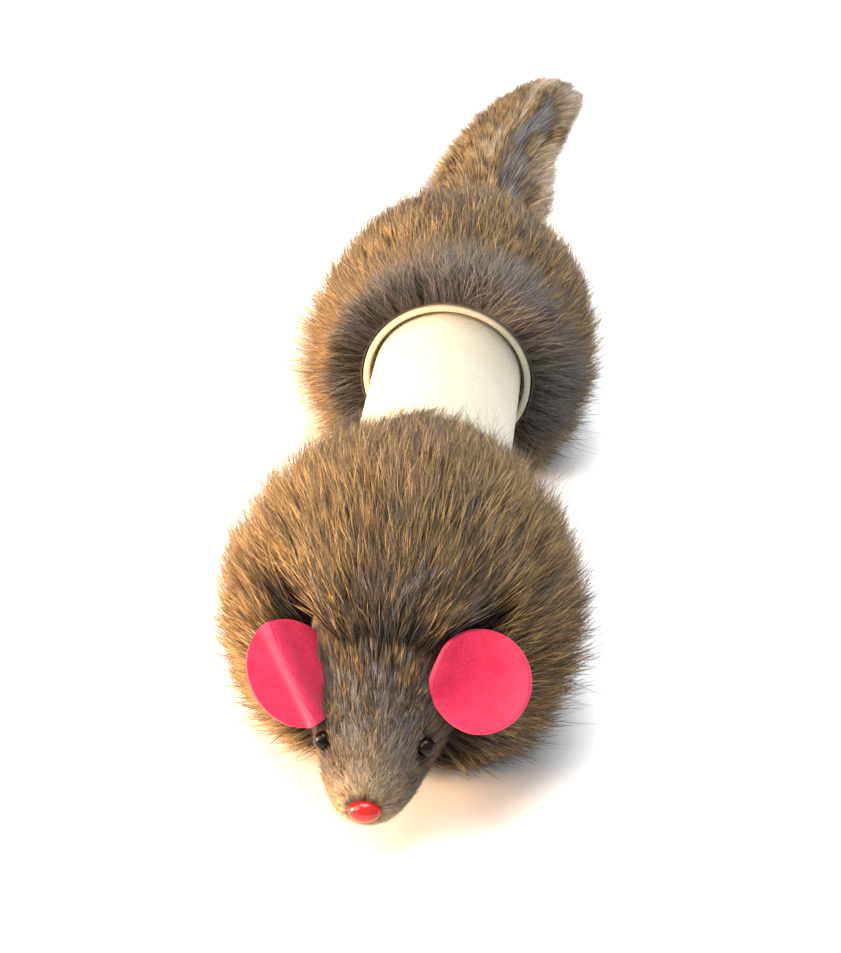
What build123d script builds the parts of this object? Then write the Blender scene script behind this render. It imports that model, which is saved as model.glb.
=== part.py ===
"""Pull-apart clockwork mouse: two fur-covered halves on a telescoping card tube, with a cord-wound
motor in the front half. Millimetres, +Z up, nose towards -Y. The origin is on the underside of the
front half, below the axis of the tube."""
from build123d import *
import math
import os

os.makedirs("parts", exist_ok=True)

# ---- driving dimensions ----
AXIS_HEIGHT = 26.0  # height of the tube's axis above the surface that the mouse rests on
TUBE_RADIUS = 18.0  # outside of the inner tube
CARD = 1.5  # wall of both tubes
SOFT_EDGE = 0.5  # worn edge of the sleeve's mouth
TUBE_FRONT = -24.0
TUBE_REAR = 108.0
SLEEVE_BORE = 19.0  # inside radius of the outer sleeve
SLEEVE_FRONT = 93.5  # the sleeve's visible collar
SLEEVE_REAR = 148.0
SLIDING_GAP = 0.3
GLUE_GAP = 0.2
PLUG_THICKNESS = 3.5

# fur bodies
FUR_RADIUS = 38.5
FRONT_FUR_LENGTH = 72.0
RUMP_LENGTH = 74.0
RUMP_FRONT = 91.5

# head
EYE_RADIUS = 1.9
EYE_SPREAD = 9.9  # from the middle of the head to the centre of each eye
HEAD_TURN = 0.08  # how far the head points to the side, per millimetre of its length
EAR_RADIUS = 9.8
FELT = 1.2
EAR_ASIDE = 18.0
EAR_Y = -33.0
EAR_RISE = 6.0
EAR_ROOM = 0.5  # between the ears' felt and the pelts
EAR_VIEW = 14.0  # the pelts are cut away this far before the ears
EAR_REACH = (0.93, 0.24, 0.28)  # the left ear's direction from its root outwards
EAR_FACING = (0.06, -0.83, 0.55)  # where the left ear's open side points
HIDE_AND_HAIR = 2.4  # short fur on the head

# motor: gears, cord and case
MODULE = 0.7
TOOTH_DEPTH = 1.15  # below the pitch circle, in modules
TOOTH_HEIGHT = 0.85  # above it, in modules
TOOTH_HALF_WIDTHS = (0.20, 0.15, 0.06)  # at the root, the pitch circle and the tip, as shares of the pitch
SPOOL_TEETH = 26
WHEEL_TEETH = 24
PINION_TEETH = 9
PIN_RADIUS = 1.0
RUNNING_GAP = 0.05
DRUM_RADIUS = 6.0
CORD_RADIUS = 0.5
CORD_SLACK = 0.1  # between the cord and the drum
CASE_HALF_WIDTH = 10.0
CASE_HALF_HEIGHT = 11.4
CASE_WALL = 1.4
CASE_END = 3.8
FLANGE_RADIUS = 16.3
SCREW_RADIUS = 0.85
WEIGHT_ROOM = 8.2  # from the eccentric axle to the front of the case's cavity
SPOOL_ROOM = 10.7  # from the spool's axle to the rear of the cavity

# the brass eye that holds the cord's far end
ANCHOR_RADIUS = 1.1
ANCHOR_REACH = 2.6  # from the rear plug to the middle of the eye
ANCHOR_STUB = 1.2
EYE_RING = 1.9
EYE_RING_SECTION = 0.9
EYE_RING_WIDTH = 1.2
KNOT_ROOM = 0.8

# ---- values that follow from them ----
TUBE_BORE = TUBE_RADIUS - CARD
SLEEVE_RADIUS = SLEEVE_BORE + CARD
SPOOL_Y = 15.5
LAYSHAFT_Y = SPOOL_Y - MODULE * (SPOOL_TEETH + PINION_TEETH) / 2
ECCENTRIC_Y = LAYSHAFT_Y - MODULE * (WHEEL_TEETH + PINION_TEETH) / 2
CAVITY_FRONT = ECCENTRIC_Y - WEIGHT_ROOM
CAVITY_REAR = SPOOL_Y + SPOOL_ROOM
CORD_LINE = DRUM_RADIUS + CORD_RADIUS + CORD_SLACK  # height of the cord above the tube's axis
PLUG_FACE = SLEEVE_REAR - PLUG_THICKNESS
CORD_START = SPOOL_Y + CORD_RADIUS
CORD_END = PLUG_FACE - ANCHOR_REACH - EYE_RING - KNOT_ROOM


def across(y, x=0.0, z=0.0):
    """A plane square to the tube, x to the right and z up, from a point beside the tube's axis."""
    return Plane(origin=(x, y, AXIS_HEIGHT + z), x_dir=(1, 0, 0), z_dir=(0, -1, 0))


def sideways(x, y, z=0.0):
    """A plane square to the motor's axles, facing +X."""
    return Plane(origin=(x, y, AXIS_HEIGHT + z), x_dir=(0, 1, 0), z_dir=(1, 0, 0))


def finish(builder, label):
    """Labels a finished piece and writes its file."""
    builder.part.label = label
    export_step(builder.part, f"parts/{label}.step")


# ---- card tubes and their rings ----
with BuildPart() as inner_tube:
    with BuildSketch(across(TUBE_FRONT)):
        Circle(TUBE_RADIUS)
        Circle(TUBE_BORE, mode=Mode.SUBTRACT)
    extrude(amount=-(TUBE_REAR - TUBE_FRONT))

with BuildPart() as outer_sleeve:
    with BuildSketch(across(SLEEVE_FRONT)):
        Circle(SLEEVE_RADIUS)
        Circle(SLEEVE_BORE, mode=Mode.SUBTRACT)
    extrude(amount=-(SLEEVE_REAR - SLEEVE_FRONT))
    mouth = outer_sleeve.faces().sort_by(Axis.Y)[0].edges()
    fillet(mouth, radius=SOFT_EDGE)

RING_WIDTH = 4.0
GUIDE_WALL = SLEEVE_BORE - SLIDING_GAP / 2 - TUBE_RADIUS
with BuildPart() as guide_ring:
    with BuildSketch(across(TUBE_REAR - RING_WIDTH)):
        Circle(TUBE_RADIUS + GUIDE_WALL)
        Circle(TUBE_RADIUS, mode=Mode.SUBTRACT)
    extrude(amount=-RING_WIDTH)

COLLAR_RING_DEPTH = 2.5  # behind the sleeve's mouth
COLLAR_RING_WIDTH = 3.0
with BuildPart() as collar_ring:
    with BuildSketch(across(SLEEVE_FRONT + COLLAR_RING_DEPTH)):
        Circle(SLEEVE_BORE)
        Circle(TUBE_RADIUS + SLIDING_GAP, mode=Mode.SUBTRACT)
    extrude(amount=-COLLAR_RING_WIDTH)

# ---- plugs that close the far ends of the tubes ----
NECK_RADIUS = 6.0
NECK_LENGTH = 4.0
with BuildPart() as front_plug:
    with BuildSketch(across(TUBE_FRONT)):
        Circle(TUBE_BORE)
    extrude(amount=-PLUG_THICKNESS)
    with BuildSketch(across(TUBE_FRONT)):
        Circle(NECK_RADIUS)
    extrude(amount=NECK_LENGTH)

with BuildPart() as rear_plug:
    with BuildSketch(across(SLEEVE_REAR)):
        Circle(SLEEVE_BORE)
    extrude(amount=PLUG_THICKNESS)
    with BuildSketch(across(SLEEVE_REAR, z=CORD_LINE)):
        Circle(ANCHOR_RADIUS)
    extrude(amount=PLUG_THICKNESS, mode=Mode.SUBTRACT)

# a brass eye pressed through the rear plug, to which the cord is tied
with BuildPart() as cord_anchor:
    with BuildSketch(across(SLEEVE_REAR, z=CORD_LINE)):
        Circle(ANCHOR_RADIUS)
    extrude(amount=PLUG_THICKNESS + ANCHOR_STUB)
    with BuildSketch(sideways(-EYE_RING_WIDTH / 2, PLUG_FACE - ANCHOR_REACH, CORD_LINE)):
        Circle(EYE_RING)
        Circle(EYE_RING - EYE_RING_SECTION, mode=Mode.SUBTRACT)
    extrude(amount=EYE_RING_WIDTH)


# ---- motor: gears ----
TOOTH_OVERLAP = 0.3  # how deep the foot of a tooth runs into the gear's body


def gear(teeth, x, y, width, gap_first=False):
    """A spur gear with slim, freely running teeth. Its axis is along X and it starts at x.
    A tooth points to +Y, or a gap between two teeth where gap_first is set."""
    pitch_radius = MODULE * teeth / 2
    body = pitch_radius - TOOTH_DEPTH * MODULE
    root = body - TOOTH_OVERLAP
    tip = pitch_radius + TOOTH_HEIGHT * MODULE
    wide, middle, narrow = (share * math.pi * MODULE for share in TOOTH_HALF_WIDTHS)
    with BuildPart(mode=Mode.PRIVATE) as made:
        with BuildSketch(sideways(x, y)):
            Circle(body)
            with PolarLocations(0, teeth, start_angle=180 / teeth if gap_first else 0):
                with BuildLine():
                    Polyline(
                        (root, -wide),
                        (pitch_radius, -middle),
                        (tip, -narrow),
                        (tip, narrow),
                        (pitch_radius, middle),
                        (root, wide),
                        close=True,
                    )
                make_face()
        extrude(amount=width)
    return made.part


# places of the parts along the axles
DRUM_HALF = 2.4
RIM = 0.7
SPOOL_GEAR_X = DRUM_HALF + RIM
SPOOL_GEAR_WIDTH = 2.0
SPOOL_FLANGE = 2.2  # height of the drum's rims
PINION_OVERHANG = 0.2  # a pinion stands out past its wheel by this much on each side
WHEEL_X = 5.5
WHEEL_WIDTH = 1.8
SPRING_X = -8.0
SPRING_WIDTH = 4.4
HUB_RADIUS = 2.2
LAYSHAFT_HUB = 1.9
WEIGHT_X = -6.0
WEIGHT_WIDTH = 10.2
WEIGHT_RADIUS = 7.0
WEIGHT_HUB_WALL = 1.5
INSIDE = CASE_HALF_WIDTH - CASE_WALL
SHOULDER = 0.2  # end play of what turns on an axle


def disc(x, y, radius, width, z=0.0):
    """A round disc square to the axles, starting at x; a negative width runs towards -X."""
    with BuildPart(mode=Mode.PRIVATE) as made:
        with BuildSketch(sideways(x, y, z)):
            Circle(radius)
        extrude(amount=width)
    return made.part


def pinion(x, y, wheel_width):
    """The pinion that meshes with a wheel that starts at x."""
    return gear(PINION_TEETH, x - PINION_OVERHANG, y, wheel_width + 2 * PINION_OVERHANG, True)


def bore(y, radius=PIN_RADIUS + RUNNING_GAP):
    """A cutter for an axle's hole, as long as the case is wide."""
    return disc(-CASE_HALF_WIDTH, y, radius, 2 * CASE_HALF_WIDTH)


with BuildPart() as cord_spool:
    add(disc(-DRUM_HALF, SPOOL_Y, DRUM_RADIUS, 2 * DRUM_HALF))
    add(disc(-DRUM_HALF - RIM, SPOOL_Y, DRUM_RADIUS + SPOOL_FLANGE, RIM))
    add(disc(DRUM_HALF, SPOOL_Y, DRUM_RADIUS + SPOOL_FLANGE, RIM))
    add(disc(SPRING_X - SHOULDER, SPOOL_Y, HUB_RADIUS, -SPRING_X + SHOULDER - DRUM_HALF))
    add(disc(SPOOL_GEAR_X, SPOOL_Y, HUB_RADIUS, INSIDE - SHOULDER - SPOOL_GEAR_X))
    add(gear(SPOOL_TEETH, SPOOL_GEAR_X, SPOOL_Y, SPOOL_GEAR_WIDTH))
    add(bore(SPOOL_Y), mode=Mode.SUBTRACT)

with BuildPart() as intermediate_gear:
    add(disc(-INSIDE + SHOULDER, LAYSHAFT_Y, LAYSHAFT_HUB, 2 * (INSIDE - SHOULDER)))
    add(pinion(SPOOL_GEAR_X, LAYSHAFT_Y, SPOOL_GEAR_WIDTH))
    add(gear(WHEEL_TEETH, WHEEL_X, LAYSHAFT_Y, WHEEL_WIDTH))
    add(bore(LAYSHAFT_Y), mode=Mode.SUBTRACT)

with BuildPart() as eccentric_pinion:
    add(pinion(WHEEL_X, ECCENTRIC_Y, WHEEL_WIDTH))
    add(bore(ECCENTRIC_Y, PIN_RADIUS), mode=Mode.SUBTRACT)

with BuildPart() as eccentric_weight:
    with BuildSketch(sideways(WEIGHT_X, ECCENTRIC_Y)):
        Circle(WEIGHT_RADIUS)
        Rectangle(2 * WEIGHT_RADIUS, WEIGHT_RADIUS, align=(Align.CENTER, Align.MIN), mode=Mode.SUBTRACT)
        Circle(PIN_RADIUS + WEIGHT_HUB_WALL)
        Circle(PIN_RADIUS, mode=Mode.SUBTRACT)
    extrude(amount=WEIGHT_WIDTH)


def axle(y, end):
    """A plain steel pin across the case, reaching to plus and minus end."""
    with BuildPart(mode=Mode.PRIVATE) as made:
        with BuildSketch(sideways(-end, y)):
            Circle(PIN_RADIUS)
        extrude(amount=2 * end)
    return made


PIN_END = CASE_HALF_WIDTH - SHOULDER
spool_axle = axle(SPOOL_Y, PIN_END)
layshaft_axle = axle(LAYSHAFT_Y, PIN_END)
eccentric_axle = axle(ECCENTRIC_Y, PIN_END)

# ---- mainspring: a flat spiral strip, drawn as half circles of growing radius ----
SPRING_TURNS = 6
SPRING_STRIP = 0.25
SPRING_INNER = 2.8
SPRING_OUTER = 9.4
HALF_STEP = (SPRING_OUTER - SPRING_INNER) / (4 * SPRING_TURNS)
with BuildPart() as mainspring:
    with BuildSketch(sideways(SPRING_X, SPOOL_Y)):
        with BuildLine() as coils:
            start = -SPRING_INNER
            for half_turn in range(2 * SPRING_TURNS):
                side = 1 if half_turn % 2 else -1
                radius = SPRING_INNER + HALF_STEP * (2 * half_turn + 1)
                stop = start - side * 2 * radius
                middle = (start + stop) / 2
                ThreePointArc((start, 0), (middle, -side * radius), (stop, 0))
                start = stop
        trace(coils.line, line_width=SPRING_STRIP)
    extrude(amount=SPRING_WIDTH)


# ---- motor case: two halves that meet on the middle plane, with round ends that fit the tube ----
CASE_ENDS = (CAVITY_FRONT - CASE_END / 2, CAVITY_REAR + CASE_END / 2)  # y of the middle of each end
SCREW_RISE = 12.6
HEAD_X = 7.6
HEAD_RADIUS = 1.45
HEAD_HEIGHT = 1.0
SCREW_LENGTH = 13.0
MOUNT_SCREW_DEPTH = 6.0
MOUNT_HEAD_RADIUS = 1.7
MOUNT_HEAD = 1.0
MOUNT_SINK = 0.3  # the heads lie this far below the tube's surface
EYELET_RADIUS = 1.8
EYELET_BORE = 0.9
EYELET_RIM = 0.8
EYELET_RIM_WIDTH = 0.6


def case_screw_spots():
    """The four places where a screw runs across both halves."""
    for y in CASE_ENDS:
        for z in (-SCREW_RISE, SCREW_RISE):
            yield y, z


def mount_screw_spots():
    """The four places where a screw runs in through the tube, and the side that it is on."""
    for y in CASE_ENDS:
        for side in (-1, 1):
            yield y, side


def case_body():
    """The whole motor case before it is split."""
    with BuildPart(mode=Mode.PRIVATE) as case:
        for y, length in ((CAVITY_FRONT - CASE_END, CASE_END), (CAVITY_REAR, CASE_END)):
            with BuildSketch(across(y)):
                Circle(FLANGE_RADIUS)
            extrude(amount=-length)
        with BuildSketch(across(CAVITY_FRONT)):
            Rectangle(2 * CASE_HALF_WIDTH, 2 * CASE_HALF_HEIGHT)
        extrude(amount=-(CAVITY_REAR - CAVITY_FRONT))
        with BuildSketch(across(CAVITY_FRONT)):
            Rectangle(2 * INSIDE, 2 * (CASE_HALF_HEIGHT - CASE_WALL))
        extrude(amount=-(CAVITY_REAR - CAVITY_FRONT), mode=Mode.SUBTRACT)
        for y in (SPOOL_Y, LAYSHAFT_Y):
            add(disc(-PIN_END, y, PIN_RADIUS, 2 * PIN_END), mode=Mode.SUBTRACT)
        add(bore(ECCENTRIC_Y), mode=Mode.SUBTRACT)
        for y, z in case_screw_spots():
            with BuildSketch(sideways(HEAD_X - SCREW_LENGTH, y, z)):
                Circle(SCREW_RADIUS)
            extrude(amount=SCREW_LENGTH, mode=Mode.SUBTRACT)
            with BuildSketch(sideways(HEAD_X, y, z)):
                Circle(HEAD_RADIUS)
            extrude(amount=FLANGE_RADIUS, mode=Mode.SUBTRACT)
        for y, side in mount_screw_spots():
            with BuildSketch(sideways(side * TUBE_RADIUS, y)):
                Circle(SCREW_RADIUS)
            extrude(amount=-side * MOUNT_SCREW_DEPTH, mode=Mode.SUBTRACT)
        with BuildSketch(across(CAVITY_REAR, z=CORD_LINE)):
            Circle(EYELET_RADIUS)
        extrude(amount=-CASE_END, mode=Mode.SUBTRACT)
    return case.part


with BuildPart() as motor_case_left:
    add(case_body())
    split(bisect_by=Plane.YZ, keep=Keep.BOTTOM)

with BuildPart() as motor_case_right:
    add(case_body())
    split(bisect_by=Plane.YZ, keep=Keep.TOP)

with BuildPart() as case_screws:
    for y, z in case_screw_spots():
        with BuildSketch(sideways(HEAD_X - SCREW_LENGTH, y, z)):
            Circle(SCREW_RADIUS)
        extrude(amount=SCREW_LENGTH)
        with BuildSketch(sideways(HEAD_X, y, z)):
            Circle(HEAD_RADIUS)
        extrude(amount=HEAD_HEIGHT)

# the screws that hold the motor in the inner tube, and their holes in the tube
with BuildPart() as mounting_screws:
    for y, side in mount_screw_spots():
        with BuildSketch(sideways(side * (TUBE_RADIUS - MOUNT_SINK), y)):
            Circle(SCREW_RADIUS)
        extrude(amount=-side * (MOUNT_SCREW_DEPTH - MOUNT_SINK))
        with BuildSketch(sideways(side * (TUBE_RADIUS - MOUNT_SINK), y)):
            Circle(MOUNT_HEAD_RADIUS)
        extrude(amount=-side * MOUNT_HEAD)

with inner_tube:
    for y, side in mount_screw_spots():
        with BuildSketch(sideways(side * (TUBE_RADIUS + MOUNT_HEAD), y)):
            Circle(MOUNT_HEAD_RADIUS)
        extrude(amount=-side * (MOUNT_SINK + 2 * MOUNT_HEAD), mode=Mode.SUBTRACT)
        with BuildSketch(sideways(side * TUBE_RADIUS, y)):
            Circle(SCREW_RADIUS)
        extrude(amount=-side * MOUNT_SCREW_DEPTH, mode=Mode.SUBTRACT)

# ---- brass eyelet that the cord runs through, and the cord itself ----
with BuildPart() as cord_eyelet:
    with BuildSketch(across(CAVITY_REAR, z=CORD_LINE)):
        Circle(EYELET_RADIUS)
        Circle(EYELET_BORE, mode=Mode.SUBTRACT)
    extrude(amount=-CASE_END)
    with BuildSketch(across(CAVITY_REAR + CASE_END, z=CORD_LINE)):
        Circle(EYELET_RADIUS + EYELET_RIM)
        Circle(EYELET_BORE, mode=Mode.SUBTRACT)
    extrude(amount=-EYELET_RIM_WIDTH)

with BuildPart() as pull_cord:
    with BuildSketch(across(CORD_START, z=CORD_LINE)):
        Circle(CORD_RADIUS)
    extrude(amount=-(CORD_END - CORD_START))


# ---- head ----
# (y, half width, half height, drop below the tube's axis) of the head's core, from neck to muzzle
HEAD_SECTIONS = (
    (-24.3, 12.0, 10.8, 3.0),
    (-32.0, 10.9, 9.8, 4.2),
    (-41.0, 8.1, 7.2, 7.2),
    (-49.4, 3.7, 3.5, 12.0),
)


def aside(y):
    """How far to the side the middle of the head lies at y. The head is glued on a little askew."""
    return HEAD_TURN * (y - TUBE_FRONT)


def head_solid(margin, back, front):
    """The head's core grown by margin all round, with its two ends moved."""
    with BuildPart(mode=Mode.PRIVATE) as made:
        for number, (y, half_width, half_height, drop) in enumerate(HEAD_SECTIONS):
            moved = {0: back, len(HEAD_SECTIONS) - 1: front}.get(number, 0.0)
            with BuildSketch(across(y + moved, aside(y), -drop)):
                Ellipse(half_width + margin, half_height + margin)
        loft()
    return made.part


EYE_Y = -41.0
EYE_DROP = 4.4
SHANK_RADIUS = 0.6
SHANK_LENGTH = 5.0
NOSE_Y = -50.9
NOSE_DROP = 12.8
NOSE_HALF_WIDTH = 3.2
NOSE_ROUND = 2.2  # its radius seen from the side
SEAT_DEPTH = 4.0
BEAD_GLUE = 0.1  # gap round a bead in the head
BEAD_HAIR = 0.2  # gap round a bead in the head's pelt


HEAD_MIDDLE = Plane.YZ.offset(aside(EYE_Y))


def eye_bead(grow=0.0):
    """The left eye, a round bead with a shank into the head, or the hole for it when grown."""
    outer = aside(EYE_Y) + EYE_SPREAD
    shank_length = SHANK_LENGTH + grow
    with BuildPart(mode=Mode.PRIVATE) as made:
        with Locations((outer, EYE_Y, AXIS_HEIGHT - EYE_DROP)):
            Sphere(EYE_RADIUS + grow)
        add(disc(outer - shank_length, EYE_Y, SHANK_RADIUS + grow, shank_length, -EYE_DROP))
    return made.part


with BuildPart() as eye_left:
    add(eye_bead())

with BuildPart() as eye_right:
    mirror(eye_bead(), about=HEAD_MIDDLE)

NOSE_AT = (aside(NOSE_Y), NOSE_Y, AXIS_HEIGHT - NOSE_DROP)


def nose_bean():
    """The glossy bean of the nose, round when seen from the side."""
    with BuildPart(mode=Mode.PRIVATE) as made:
        Sphere(1)
        scale(by=(NOSE_HALF_WIDTH, NOSE_ROUND, NOSE_ROUND))
    return made.part.moved(Location(NOSE_AT))


with BuildPart() as nose:
    add(nose_bean())
    with BuildSketch(across(NOSE_Y, NOSE_AT[0], -NOSE_DROP)):
        Circle(SHANK_RADIUS)
    extrude(amount=-(NOSE_ROUND + SHANK_LENGTH))


def nose_seat(grow):
    """The seat of the nose and its shank in the head's front end."""
    with BuildPart(mode=Mode.PRIVATE) as made:
        with BuildSketch(across(NOSE_Y - SEAT_DEPTH, NOSE_AT[0], -NOSE_DROP)):
            Ellipse(NOSE_HALF_WIDTH + grow, NOSE_ROUND + grow)
        extrude(amount=-(SEAT_DEPTH + NOSE_ROUND + grow))
        with BuildSketch(across(NOSE_Y, NOSE_AT[0], -NOSE_DROP)):
            Circle(SHANK_RADIUS + grow)
        extrude(amount=-(NOSE_ROUND + SHANK_LENGTH + grow))
    return made.part


with BuildPart() as head_form:
    add(head_solid(0, 0, 0))
    with BuildSketch(across(TUBE_FRONT)):
        Circle(NECK_RADIUS + BEAD_GLUE)
    extrude(amount=NECK_LENGTH + BEAD_GLUE, mode=Mode.SUBTRACT)
    add(eye_bead(BEAD_GLUE), mode=Mode.SUBTRACT)
    mirror(eye_bead(BEAD_GLUE), about=HEAD_MIDDLE, mode=Mode.SUBTRACT)
    add(nose_seat(BEAD_GLUE), mode=Mode.SUBTRACT)


# ---- felt ears: round discs that stand out from the cheeks and face forwards and up ----
def ear_plane(side):
    """The plane of one ear, its x pointing from the root outwards."""
    return Plane(
        origin=(side * EAR_ASIDE, EAR_Y, AXIS_HEIGHT + EAR_RISE),
        x_dir=(side * EAR_REACH[0], EAR_REACH[1], EAR_REACH[2]),
        z_dir=(side * EAR_FACING[0], EAR_FACING[1], EAR_FACING[2]),
    )


def ear_disc(side, grow_radius, back, front):
    """A disc along the ear's plane, from back behind it to front before it."""
    plane = ear_plane(side)
    with BuildPart(mode=Mode.PRIVATE) as made:
        with BuildSketch(plane.offset(-back)):
            Circle(EAR_RADIUS + grow_radius)
        extrude(amount=back + front)
    return made


ear_left = ear_disc(1, 0, FELT / 2, FELT / 2)
ear_right = ear_disc(-1, 0, FELT / 2, FELT / 2)


def ear_room(side):
    """The space that an ear needs in the fur round it."""
    return ear_disc(side, EAR_ROOM, FELT / 2 + EAR_ROOM, EAR_VIEW).part


HEAD_PELT_START = -2.0  # the head's pelt starts this far before the tube's plug
PAST_THE_ENDS = 6.0  # a cutter runs on past an open end by this much
with BuildPart() as head_pelt:
    add(head_solid(HIDE_AND_HAIR, HEAD_PELT_START, 0))
    add(head_solid(GLUE_GAP, PAST_THE_ENDS, -PAST_THE_ENDS / 2), mode=Mode.SUBTRACT)
    add(eye_bead(BEAD_HAIR), mode=Mode.SUBTRACT)
    mirror(eye_bead(BEAD_HAIR), about=HEAD_MIDDLE, mode=Mode.SUBTRACT)
    add(nose_seat(BEAD_HAIR), mode=Mode.SUBTRACT)
    for side in (-1, 1):
        add(ear_room(side), mode=Mode.SUBTRACT)


# ---- fur bodies: closed solids with the outer shape of the hair ----
def tube_room(y, radius, length):
    """A cutter along the tube's axis, from y backwards."""
    with BuildPart(mode=Mode.PRIVATE) as made:
        with BuildSketch(across(y)):
            Circle(radius)
        extrude(amount=-length)
    return made.part


def floor_room():
    """A cutter that takes away what would hang below the resting surface."""
    with BuildPart(mode=Mode.PRIVATE) as made:
        with BuildSketch(Plane.XY):
            Rectangle(4 * RUMP_FRONT, 4 * RUMP_FRONT)
        extrude(amount=-FUR_RADIUS)
    return made.part


FRONT_HALF_LENGTH = FRONT_FUR_LENGTH / 2
# (share of the fur's radius, share of the half length from the middle) along the front body's outline
FRONT_OUTLINE = ((0.72, -0.70), (1.0, 0.0), (0.76, 0.70))
FRONT_RIM = 0.5  # radius of the front body's open end, as a share of the fur's radius
RIM_SLOPE = (-0.6, 0.8)  # direction of the outline where it meets that rim
PELT_GAP = 0.3  # between the pelts of the head and the front half
HEAD_ROOM = 2.6  # the front pelt's hollow reaches this far before the tube
with BuildPart() as front_pelt:
    with BuildSketch(Plane.XY.offset(AXIS_HEIGHT)):
        with BuildLine():
            rear_rim = (FRONT_RIM * FUR_RADIUS, FRONT_HALF_LENGTH)
            Spline(
                (0, -FRONT_HALF_LENGTH),
                *((radius * FUR_RADIUS, along * FRONT_HALF_LENGTH) for radius, along in FRONT_OUTLINE),
                rear_rim,
                tangents=((1, 0), RIM_SLOPE),
            )
            Polyline(rear_rim, (0, FRONT_HALF_LENGTH), (0, -FRONT_HALF_LENGTH))
        make_face()
    revolve(axis=Axis((0, 0, AXIS_HEIGHT), (0, 1, 0)), revolution_arc=360)
    add(floor_room(), mode=Mode.SUBTRACT)
    add(tube_room(TUBE_FRONT - HEAD_ROOM, TUBE_RADIUS + GLUE_GAP, TUBE_REAR), mode=Mode.SUBTRACT)
    add(head_solid(HIDE_AND_HAIR + PELT_GAP, HEAD_PELT_START, 0), mode=Mode.SUBTRACT)
    for side in (-1, 1):
        add(ear_room(side), mode=Mode.SUBTRACT)

RUMP_END = RUMP_FRONT + RUMP_LENGTH
SLEEVE_ROOM = SLEEVE_REAR - RUMP_FRONT + PELT_GAP
# (share of the fur's radius, distance behind the rim) along the rump's outline
RUMP_OUTLINE = ((0.90, 5), (1.0, 18), (0.90, 38), (0.69, 56), (0.42, 68))
RUMP_RIM = 0.62  # radius of the rump's open front, as a share of the fur's radius
RUMP_TIP = 0.16  # and of its flat rear end
with BuildPart() as rear_pelt:
    with BuildSketch(Plane.XY.offset(AXIS_HEIGHT)):
        with BuildLine():
            front_rim = (RUMP_RIM * FUR_RADIUS, RUMP_FRONT)
            rear_rim = (RUMP_TIP * FUR_RADIUS, RUMP_END)
            Spline(
                front_rim,
                *((radius * FUR_RADIUS, RUMP_FRONT + behind) for radius, behind in RUMP_OUTLINE),
                rear_rim,
            )
            Polyline(rear_rim, (0, RUMP_END), (0, RUMP_FRONT), front_rim)
        make_face()
    revolve(axis=Axis((0, 0, AXIS_HEIGHT), (0, 1, 0)), revolution_arc=360)
    add(floor_room(), mode=Mode.SUBTRACT)
    add(tube_room(RUMP_FRONT, SLEEVE_RADIUS + GLUE_GAP, SLEEVE_ROOM), mode=Mode.SUBTRACT)

# ---- tail: a strip of pelt, widening from its sewn root and bending to the side at its tip ----
# (y, sideways offset, height above the tube's axis, half width, half thickness)
TAIL_SECTIONS = (
    (167.5, 2.0, 6.0, 4.0, 3.0),
    (182.0, 3.0, 8.0, 14.0, 7.5),
    (205.0, 5.5, 11.5, 14.5, 8.0),
    (224.0, 10.5, 15.0, 13.0, 6.5),
    (238.0, 16.0, 17.0, 9.5, 4.5),
    (245.0, 19.0, 18.0, 3.5, 2.0),
)
with BuildPart() as tail_pelt:
    for y, offset_x, rise, half_width, half_thickness in TAIL_SECTIONS:
        with BuildSketch(across(y, offset_x, rise)):
            Ellipse(half_width, half_thickness)
    loft()

# ---- files ----
finish(inner_tube, "inner_tube")
finish(guide_ring, "guide_ring")
finish(front_plug, "front_plug")
finish(front_pelt, "front_pelt")
finish(head_form, "head_form")
finish(head_pelt, "head_pelt")
finish(nose, "nose")
finish(eye_left, "eye_left")
finish(eye_right, "eye_right")
finish(ear_left, "ear_left")
finish(ear_right, "ear_right")
finish(motor_case_left, "motor_case_left")
finish(motor_case_right, "motor_case_right")
finish(case_screws, "case_screws")
finish(mounting_screws, "mounting_screws")
finish(spool_axle, "spool_axle")
finish(layshaft_axle, "layshaft_axle")
finish(mainspring, "mainspring")
finish(cord_eyelet, "cord_eyelet")
finish(pull_cord, "pull_cord")
finish(cord_spool, "cord_spool")
finish(intermediate_gear, "intermediate_gear")
finish(eccentric_axle, "eccentric_axle")
finish(eccentric_pinion, "eccentric_pinion")
finish(eccentric_weight, "eccentric_weight")
finish(outer_sleeve, "outer_sleeve")
finish(collar_ring, "collar_ring")
finish(rear_plug, "rear_plug")
finish(cord_anchor, "cord_anchor")
finish(rear_pelt, "rear_pelt")
finish(tail_pelt, "tail_pelt")
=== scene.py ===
"""The looks of the pull-apart fur mouse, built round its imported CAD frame, with +Z up and the nose to -Y.
The frame, the camera and the lamps are in metres. Shapes are worked out in millimetres."""
import math

import bmesh
import bpy
import numpy as np
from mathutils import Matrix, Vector
from mathutils.kdtree import KDTree


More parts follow.
